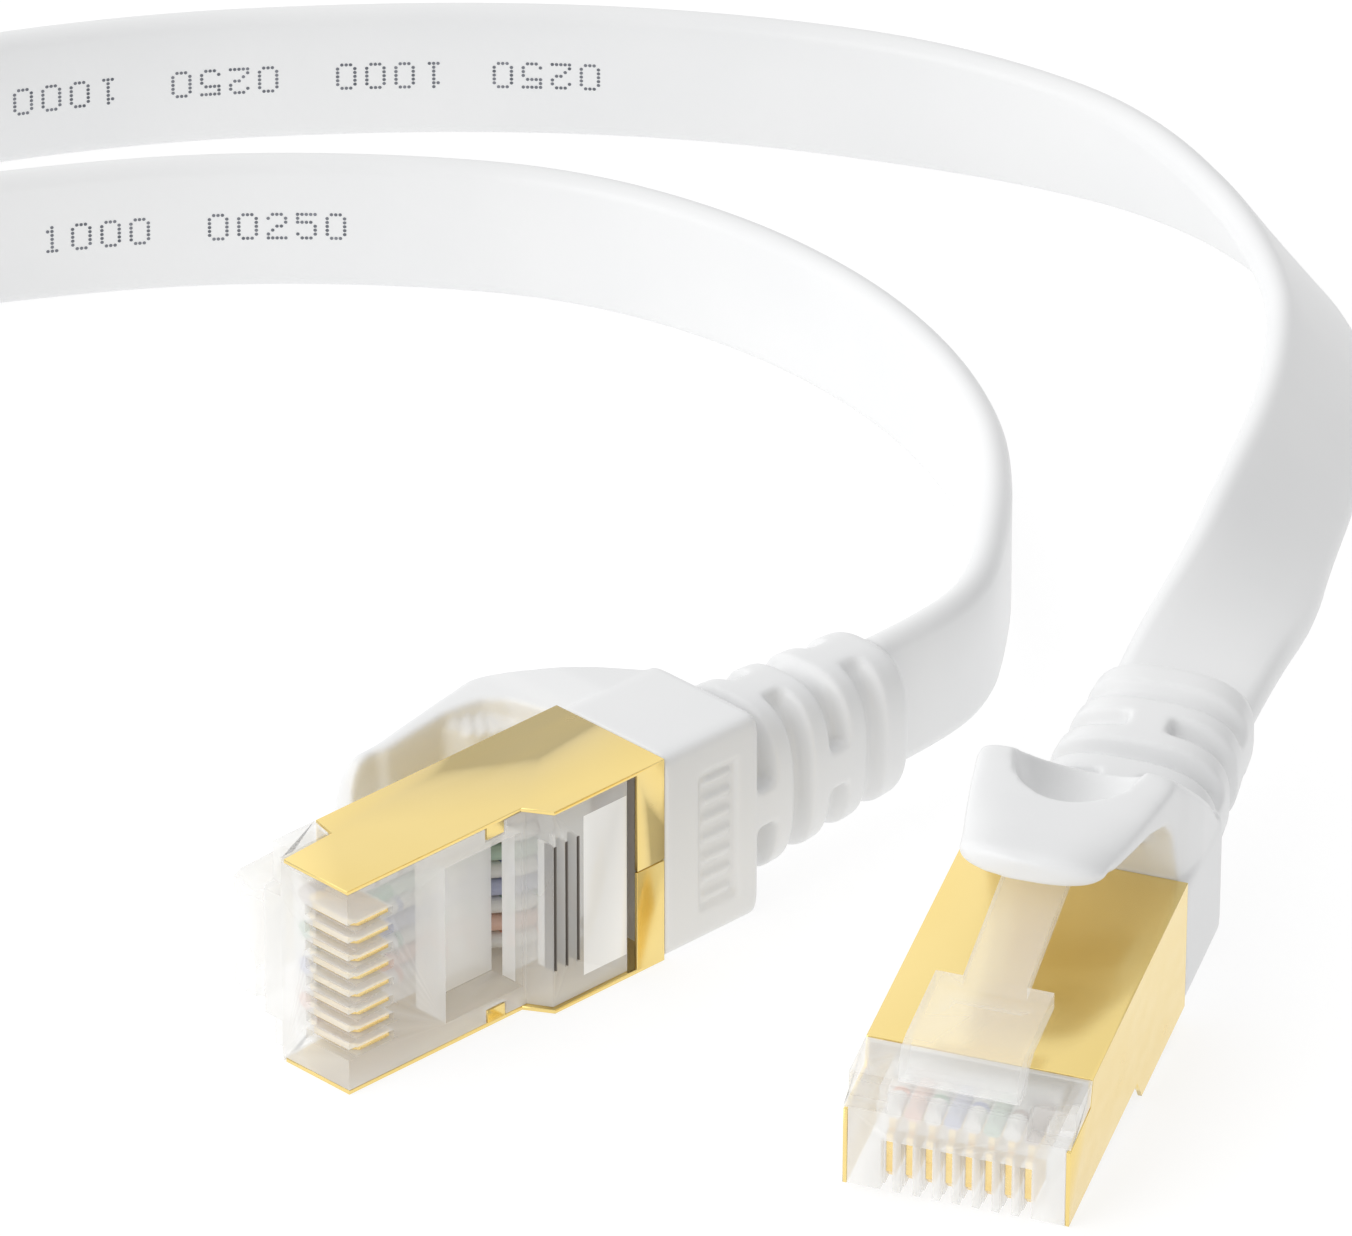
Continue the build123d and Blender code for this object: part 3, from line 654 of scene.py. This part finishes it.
class Finish:
    """A new material with a Principled shader."""

    def __init__(self, name, **constants):
        self.material = bpy.data.materials.new(name)
        self.material.use_nodes = True
        self.tree = self.material.node_tree
        self.shader = self.tree.nodes["Principled BSDF"]
        for key, value in constants.items():
            self.shader.inputs[key.replace("_", " ")].default_value = value

    def node(self, kind, settings=None, inputs=None, output=0):
        """Add a node: its settings first, then values or links for its sockets."""
        made = self.tree.nodes.new(kind)
        for key, value in (settings or {}).items():
            if key == "stops":
                ramp = made.color_ramp.elements
                for place, colour in value[len(ramp):]:
                    ramp.new(place)
                for element, (place, colour) in zip(ramp, value):
                    element.position, element.color = place, (*colour, 1.0)
            else:
                setattr(made, key, value)
        for key, value in (inputs or {}).items():
            if isinstance(value, Signal):
                self.tree.links.new(value.socket, made.inputs[key])
            else:
                made.inputs[key].default_value = value
        return Signal(self, made.outputs[output])

    def position(self, scale=(1, 1, 1)):
        """Object coordinates, scaled by axis."""
        place = self.node("ShaderNodeTexCoord", output="Object")
        return self.node("ShaderNodeMapping", inputs={"Vector": place, "Scale": scale})

    def noise(self, scale, detail=3.0, stretch=(1, 1, 1)):
        """Even noise from 0 to 1 over the piece; scale is patches per metre."""
        inputs = {"Vector": self.position(stretch), "Scale": scale, "Detail": detail}
        return self.node("ShaderNodeTexNoise", inputs=inputs)

    def weave(self, direction, scale, **inputs):
        """Brightness of a wave texture of parallel bands."""
        settings = {"wave_type": "BANDS", "bands_direction": direction}
        return self.node("ShaderNodeTexWave", settings, {"Vector": self.position(), "Scale": scale, **inputs}, 1)

    def along(self, letter, axis):
        """Place on one axis of a plug, in millimetres: 0 out of the nose, 1 across, 2 up to the latch."""
        frame_of_plug = PLUGS[letter]
        direction = frame_of_plug[1 + axis] / MM
        place = self.node(
            "ShaderNodeVectorMath", {"operation": "DOT_PRODUCT"},
            {0: self.position(), 1: [float(value) for value in direction]}, "Value",
        )
        return place - float(frame_of_plug[0] @ direction)

    def bump(self, height, depth, strength=1.0):
        """Raise the surface by height times depth, in metres."""
        raised = self.node("ShaderNodeBump", inputs={"Height": height, "Distance": depth, "Strength": strength})
        self.feed("Normal", raised)

    def ramp(self, value, stops):
        return self.node("ShaderNodeValToRGB", {"stops": stops}, {"Fac": value})

    def feed(self, name, signal):
        self.tree.links.new(signal.socket, self.shader.inputs[name])


def paint(material, *things):
    """Give a material to every face of some objects."""
    for thing in things:
        thing.data.materials.clear()
        thing.data.materials.append(material)


def paint_nodes(material, *names):
    """Give a material to pieces of the frame."""
    for name in names:
        for holder in frame["nodes"][name].material_slots:
            holder.material = material


# %% White vinyl of the cord and the boots
def vinyl(name, low, high, roughness, grain):
    """White vinyl: faint clouding of the colour, a fine grain and a soft gloss."""
    finish = Finish(name, IOR=1.5, Subsurface_Weight=0.0)
    cloud = finish.noise(90.0, 2.0)
    finish.feed("Base Color", finish.ramp(cloud, [(0.3, low), (0.7, high)]))
    finish.feed("Roughness", finish.noise(700.0, 2.0) * 0.08 + (roughness - 0.04))
    finish.bump(finish.noise(grain, 3.0), 0.00002, 0.35)
    return finish.material


CORD_JACKET = vinyl("cord_jacket", (0.815, 0.82, 0.825), (0.84, 0.843, 0.845), 0.34, 2600.0)
BOOT_VINYL = vinyl("boot_vinyl", (0.785, 0.79, 0.795), (0.81, 0.813, 0.815), 0.3, 3200.0)
paint(CORD_JACKET, cord)
paint(BOOT_VINYL, *BOOTS)
paint_nodes(CORD_JACKET, "a_jacket_end", "b_jacket_end")


# %% Ink of the dotted numbers
def ink():
    """Grey ink that the vinyl has drunk unevenly."""
    finish = Finish("cord_ink")
    finish.feed("Base Color", finish.ramp(finish.noise(1200.0), [(0.3, (0.10, 0.11, 0.13)), (0.7, (0.22, 0.23, 0.26))]))
    finish.feed("Roughness", finish.noise(2000.0) * 0.1 + 0.5)
    return finish.material


paint(ink(), legend)


# %% Gold-plated sheet
def gold_plate():
    """Thin gold over rolled sheet: long faint rolling lines in roughness and bump."""
    finish = Finish("gold_plate", Metallic=1.0)
    rolled = finish.noise(900.0, 4.0, (0.15, 1.0, 1.0))
    plating = [(0.3, (0.90, 0.69, 0.26)), (0.75, (0.94, 0.75, 0.33))]
    finish.feed("Base Color", finish.ramp(finish.noise(60.0, 3.0), plating))
    finish.feed("Roughness", rolled * 0.16 + 0.16)
    finish.bump(rolled, 0.000015, 0.25)
    return finish.material


GOLD_PLATE = gold_plate()
paint(GOLD_PLATE, *SHELLS)


# %% [markdown]
# Clear polycarbonate bends light so much that, inside a plug this small, a full refraction of it turns
# dark: each ray gets lost between dozens of walls.  The real one looks bright, because light scatters in
# it.  So it is painted as thin white that is mostly see-through.  It is fuller at its rims, frosted
# on the window's floor, and glows very faintly in place of the scattered light.

# %% Clear polycarbonate
# Places of the clamp's ridges along the plug, where dark lines of painted shade go across the clear plastic.
CLAMP_SHADE_LINES = (13.17, 13.97, 14.77)
CLAMP_SHADE_HALF = 0.11
RIM_FILL = 0.5
FROST_FILL, JACKET_FILL, SHADE_LINE_FILL = 0.35, 0.5, 0.75
PLASTIC_GLOW = 0.13


def clear_plastic(letter, name, fill):
    """White that is mostly see-through face on, fuller at its rims, frosted over the window's floor, with painted shade
    in dark lines across the clamp's ridges.
    """
    finish = Finish(f"{letter}_{name}", IOR=1.49)
    back, side, height = finish.along(letter, 0) * -1.0, finish.along(letter, 1), finish.along(letter, 2)
    rim = finish.node("ShaderNodeLayerWeight", inputs={"Blend": 0.3}, output=1)
    frost = back.between(6.65, 12.4) * height.between(0.5, 3.0) * side.between(-4.4, 4.4)
    jacket = back.between(15.15, 18.15) * height.between(-1.5, -0.9) * side.between(-4.6, 4.6)
    # Painted shade: the clamp's ridges show dark through the clear plastic, so on these lines the colour is dark, the
    # plastic fuller and the glow off.
    lines = side.between(-3.6, 3.6) * height.between(-1.5, -0.5) * sum(
        back.between(place - CLAMP_SHADE_HALF, place + CLAMP_SHADE_HALF) for place in CLAMP_SHADE_LINES
    )
    finish.feed("Base Color", finish.ramp(lines, [(0.3, (0.86, 0.86, 0.85)), (0.7, (0.20, 0.18, 0.16))]))
    finish.feed("Alpha", rim * RIM_FILL + frost * FROST_FILL + jacket * JACKET_FILL + lines * SHADE_LINE_FILL + fill)
    finish.feed("Emission Color", finish.ramp(lines, [(0.3, (1.0, 0.99, 0.97)), (0.7, (0.0, 0.0, 0.0))]))
    finish.shader.inputs["Emission Strength"].default_value = PLASTIC_GLOW
    finish.feed("Roughness", finish.noise(1500.0, 2.0) * 0.05 + 0.05)
    finish.bump(finish.noise(500.0, 2.0), 0.00003, 0.3)
    return finish.material


for letter, housing, latch in zip(PLUGS, HOUSINGS, LATCHES):
    paint(clear_plastic(letter, "clear_body", 0.25), housing)
    paint(clear_plastic(letter, "clear_catch", 0.16), latch)


# %% Contacts, conductors and inner pieces
CONTACTS = [f"{letter}_contact_{number}" for letter in PLUGS for number in range(1, 9)]


def contact_gold():
    finish = Finish("contact_gold", Metallic=1.0)
    finish.feed("Base Color", finish.ramp(finish.noise(800.0), [(0.3, (0.90, 0.66, 0.28)), (0.8, (0.97, 0.80, 0.42))]))
    finish.feed("Roughness", finish.noise(2500.0) * 0.2 + 0.15)
    return finish.material


paint_nodes(contact_gold(), *CONTACTS)
PAIR_COLOURS = {
    "orange": (0.80, 0.22, 0.03), "green": (0.02, 0.32, 0.12), "blue": (0.03, 0.10, 0.50), "brown": (0.22, 0.08, 0.03),
}
PAIRS = {1: "orange", 2: "orange", 3: "green", 4: "blue", 5: "blue", 6: "green", 7: "brown", 8: "brown"}
INSULATION_WHITE = (0.80, 0.79, 0.76)


def insulation(letter, colour, striped):
    """White with rings of the pair's colour, or that colour, paler except just behind the contacts."""
    finish = Finish(f"{letter}_{'white_' if striped else ''}{colour}", Roughness=0.42)
    back = finish.along(letter, 0) * -1.0
    if striped:
        ring = back.math("PINGPONG", back, 0.8) > 0.62
        mask = ring * 0.6
    else:
        mask = back.between(4.6, 6.7)
    soft = tuple(0.55 * white + 0.45 * value for white, value in zip(INSULATION_WHITE, PAIR_COLOURS[colour]))
    plain = INSULATION_WHITE if striped else soft
    finish.feed("Base Color", finish.ramp(mask, [(0.2, plain), (0.8, PAIR_COLOURS[colour])]))
    finish.bump(finish.noise(2500.0), 0.00002, 0.3)
    return finish.material


for letter in PLUGS:
    for number, colour in PAIRS.items():
        paint_nodes(insulation(letter, colour, number % 2 == 1), f"{letter}_wire_{number}")


def moulded_nylon():
    finish = Finish("load_bar_nylon")
    finish.feed("Base Color", finish.ramp(finish.noise(400.0), [(0.3, (0.75, 0.75, 0.73)), (0.7, (0.82, 0.82, 0.8))]))
    finish.feed("Roughness", finish.noise(1800.0) * 0.1 + 0.4)
    return finish.material


def copper_braid():
    """Two crossing sets of fine wires, with painted shade: darker where a wire dips under another, lighter where it
    lies on top.
    """
    finish = Finish("copper_braid", Metallic=1.0, Roughness=0.35)
    weave = finish.weave("DIAGONAL", 900.0, Distortion=1.0)
    # Painted shade: the weave's low bands get the dark copper and its raised bands the light copper.
    finish.feed("Base Color", finish.ramp(weave, [(0.2, (0.10, 0.05, 0.025)), (0.8, (0.36, 0.19, 0.09))]))
    finish.bump(weave, 0.0001, 0.6)
    return finish.material


def woven_strap():
    """Black hook-and-loop tape: a fine weave and short loose fibres."""
    finish = Finish("woven_strap", Roughness=0.9)
    weave = finish.weave("Z", 700.0, Distortion=2.0, Detail=2.0)
    finish.feed("Base Color", finish.ramp(weave, [(0.2, (0.015, 0.015, 0.017)), (0.9, (0.05, 0.05, 0.055))]))
    finish.bump(weave, 0.00015, 0.7)
    return finish.material


for letter in PLUGS:
    paint_nodes(moulded_nylon(), f"{letter}_load_bar")
    paint_nodes(copper_braid(), f"{letter}_braid_collar")
paint_nodes(woven_strap(), "cable_tie")

# %% [markdown]
# ## Table, light and camera
#
# The cable is shown on a plain white table that gives off most of its own light, so that its shadows are
# faint.  The sky is brighter on one side and one softbox helps it.  The camera is far away with a long
# lens, which keeps the plugs nearly free of perspective.

# %% Table
FLOOR_HALF = 3.0
floor_mesh = bpy.data.meshes.new("table")
FLOOR_DROP = 0.00002
corners = [(-1, -1), (1, -1), (1, 1), (-1, 1)]
floor_mesh.from_pydata([(x * FLOOR_HALF, y * FLOOR_HALF, -FLOOR_DROP) for x, y in corners], [], [(0, 1, 2, 3)])
table = linked("table", floor_mesh)
table_finish = Finish("white_table", Roughness=0.9, Specular_IOR_Level=0.0)
table_finish.shader.inputs["Base Color"].default_value = (0.3, 0.3, 0.3, 1.0)
table_finish.shader.inputs["Emission Color"].default_value = (1.0, 1.0, 1.0, 1.0)
table_finish.shader.inputs["Emission Strength"].default_value = 0.76
paint(table_finish.material, table)

# %% World and lamps
scene = bpy.context.scene
scene.view_settings.view_transform = "Standard"
world = bpy.data.worlds.new("studio")
world.use_nodes = True
SKY_LEVEL, SKY_SLOPE = 0.76, 0.55
BRIGHT_SIDE = tuple(Vector((0.5, -0.75, 0.43)).normalized())
sky = world.node_tree
ray_direction = sky.nodes.new("ShaderNodeTexCoord").outputs["Generated"]
facing = sky.nodes.new("ShaderNodeVectorMath")
facing.operation = "DOT_PRODUCT"
facing.inputs[1].default_value = BRIGHT_SIDE
strength = sky.nodes.new("ShaderNodeMath")
strength.operation = "MULTIPLY_ADD"
strength.inputs[1].default_value, strength.inputs[2].default_value = SKY_SLOPE, SKY_LEVEL
sky.links.new(ray_direction, facing.inputs[0])
sky.links.new(facing.outputs["Value"], strength.inputs[0])
sky.links.new(strength.outputs[0], sky.nodes["Background"].inputs["Strength"])
sky.nodes["Background"].inputs["Color"].default_value = (1.0, 1.0, 1.0, 1.0)
scene.world = world
VIEW_TARGET = Vector((-34.02, -21.20, 0.0)) * MM


def softbox(name, direction, distance, size, power):
    """Square area lamp that faces the middle of the view."""
    lamp = bpy.data.lights.new(name, "AREA")
    lamp.size = size
    lamp.energy = power
    thing = bpy.data.objects.new(name, lamp)
    scene.collection.objects.link(thing)
    thing.location = VIEW_TARGET + Vector(direction).normalized() * distance
    thing.rotation_euler = (-Vector(direction)).to_track_quat("-Z", "Y").to_euler()
    return thing


softbox("key", (0.9, -0.1, 0.45), 0.9, 0.6, 1.5)

# %% Camera
CAMERA_TURN = radians(45.51)
CAMERA_RISE = radians(28.99)
CAMERA_DISTANCE = 0.9
camera_data = bpy.data.cameras.new("camera")
camera_data.sensor_width = 36.0
camera_data.lens = 457.5
camera_data.clip_start = 0.01
camera = bpy.data.objects.new("camera", camera_data)
scene.collection.objects.link(camera)
backwards = Vector((cos(CAMERA_TURN) * cos(CAMERA_RISE), sin(CAMERA_TURN) * cos(CAMERA_RISE), sin(CAMERA_RISE)))
camera.location = VIEW_TARGET + backwards * CAMERA_DISTANCE
camera.rotation_euler = (-backwards).to_track_quat("-Z", "Y").to_euler()
scene.camera = camera
